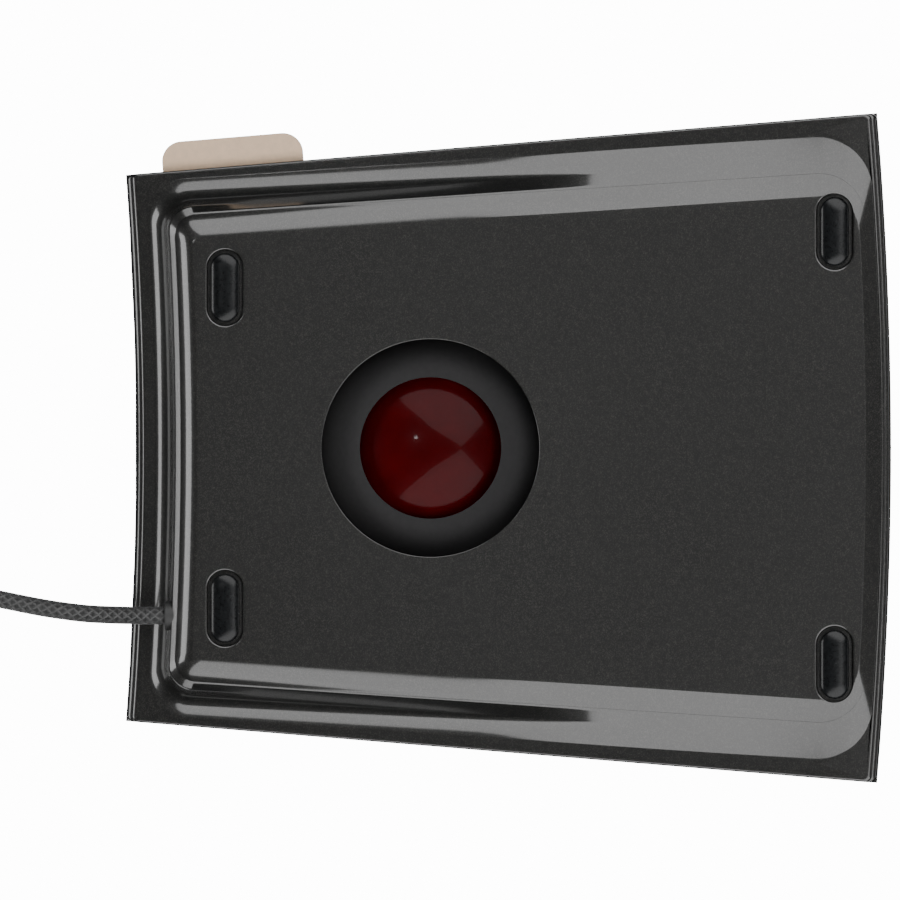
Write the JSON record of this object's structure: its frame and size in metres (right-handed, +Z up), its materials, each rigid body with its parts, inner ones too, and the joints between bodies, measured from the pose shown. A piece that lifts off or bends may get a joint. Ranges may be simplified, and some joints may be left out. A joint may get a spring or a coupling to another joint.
{
  "type": "trackball mouse",
  "caption": "Slim wedge-shaped desktop trackball with a large ball, key plates around it, rubber feet and a braided lead with a plug",
  "frame": {"origin": "centre of the case's bounding box at the level of the desk, the cord left out", "axes": "+X is the user's right, +Y the rear where the cord leaves, +Z up"},
  "size_m": [0.1326, 0.2623, 0.057],
  "materials": {
    "case_dark": "dark gunmetal moulded plastic with a fine metal flake and a satin gloss",
    "bezel": "satin black ring with a polished inner edge",
    "cup_black": "black low-friction plastic, satin",
    "ball_red": "translucent dark red resin, polished, with fine pearl",
    "ruby": "polished synthetic bearing balls",
    "foot_rubber": "smooth black rubber",
    "steel": "zinc plated steel",
    "board_green": "green solder mask on glass fibre",
    "board_part": "small tinned components",
    "black_part": "black moulded nylon",
    "plunger_red": "red switch plungers",
    "lens_clear": "clear polycarbonate",
    "header_white": "white nylon",
    "cord_black": "black braided sleeve",
    "grommet_black": "soft black rubber",
    "tie_black": "black hook-and-loop strap",
    "plug_black": "black overmould",
    "plug_steel": "plated steel shell",
    "contact_gold": "gold plated contacts",
    "card_beige": "beige printed card stock, left blank"
  },
  "bodies": {
    "root": {"base_pan": "case_dark", "lower_case": "case_dark", "top_case": "case_dark", "key_hinge_pins": "steel", "bezel_ring": "bezel", "bezel_screws": "steel", "ball_cup": "cup_black", "support_bearings": "ruby", "cup_screws": "steel", "foot_front_left": "foot_rubber", "foot_front_right": "foot_rubber", "foot_rear_left": "foot_rubber", "foot_rear_right": "foot_rubber", "case_screws": "steel", "main_board": "board_green", "board_screws": "steel", "controller_chip": "black_part", "board_parts": "board_part", "sounder": "black_part", "micro_switches": "black_part", "sensor_boards": "board_green", "sensor_chips": "black_part", "sensor_lenses": "lens_clear", "sensor_screws": "steel", "sensor_leads": "black_part", "cord_header": "header_white", "inner_lead": "cord_black", "cord_clamp": "black_part", "clamp_screw": "steel", "cord_grommet": "grommet_black", "card_guide": "black_part", "cord_lead": "cord_black", "cord_coil": "cord_black", "coil_tie": "tie_black", "plug_body": "plug_black", "plug_shell": "plug_steel", "plug_tongue": "header_white", "plug_contacts": "contact_gold"},
    "key_front_left": {"key_front_left": "case_dark"},
    "key_front_right": {"key_front_right": "case_dark"},
    "key_rear_left": {"key_rear_left": "case_dark"},
    "key_rear_right": {"key_rear_right": "case_dark"},
    "ball": {"ball": "ball_red"},
    "plunger_front_left": {"plunger_front_left": "plunger_red"},
    "plunger_front_right": {"plunger_front_right": "plunger_red"},
    "plunger_rear_left": {"plunger_rear_left": "plunger_red"},
    "plunger_rear_right": {"plunger_rear_right": "plunger_red"},
    "label_card": {"label_card": "card_beige"}
  },
  "joints": [
    {"name": "ball_roll", "type": "hinge", "parent": "root", "child": "ball", "pos_m": [0, 0.0153, 0.0295], "axis": [1, 0, 0], "continuous": true},
    {"name": "key_front_left_press", "type": "hinge", "parent": "root", "child": "key_front_left", "pos_m": [0, -0.0559, 0.0069], "axis": [-1, 0, 0], "range_deg": [0, 0.59], "stiffness_Nm_per_rad": 3},
    {"name": "plunger_front_left_slide", "type": "slide", "parent": "root", "child": "plunger_front_left", "axis": [0, 0, -1], "range_m": [0, 0.00066]},
    {"name": "key_front_right_press", "type": "hinge", "parent": "root", "child": "key_front_right", "pos_m": [0, -0.0559, 0.0069], "axis": [-1, 0, 0], "range_deg": [0, 0.59], "stiffness_Nm_per_rad": 3},
    {"name": "plunger_front_right_slide", "type": "slide", "parent": "root", "child": "plunger_front_right", "axis": [0, 0, -1], "range_m": [0, 0.00066]},
    {"name": "key_rear_left_press", "type": "hinge", "parent": "root", "child": "key_rear_left", "pos_m": [0, 0.0619, 0.02315], "axis": [1, 0, 0], "range_deg": [0, 1.03], "stiffness_Nm_per_rad": 3},
    {"name": "plunger_rear_left_slide", "type": "slide", "parent": "root", "child": "plunger_rear_left", "axis": [0, 0, -1], "range_m": [0, 0.00066]},
    {"name": "key_rear_right_press", "type": "hinge", "parent": "root", "child": "key_rear_right", "pos_m": [0, 0.0619, 0.02315], "axis": [1, 0, 0], "range_deg": [0, 1.03], "stiffness_Nm_per_rad": 3},
    {"name": "plunger_rear_right_slide", "type": "slide", "parent": "root", "child": "plunger_rear_right", "axis": [0, 0, -1], "range_m": [0, 0.00066]},
    {"name": "label_card_slide", "type": "slide", "parent": "root", "child": "label_card", "axis": [-0.9968, 0.08, 0.0063], "range_m": [-0.004, 0.01]}
  ],
  "couplings": [
    {"joint": "plunger_front_left_slide", "follows": "key_front_left_press", "m_per_rad": 0.0579},
    {"joint": "plunger_front_right_slide", "follows": "key_front_right_press", "m_per_rad": 0.0579},
    {"joint": "plunger_rear_left_slide", "follows": "key_rear_left_press", "m_per_rad": 0.0333},
    {"joint": "plunger_rear_right_slide", "follows": "key_rear_right_press", "m_per_rad": 0.0333}
  ]
}
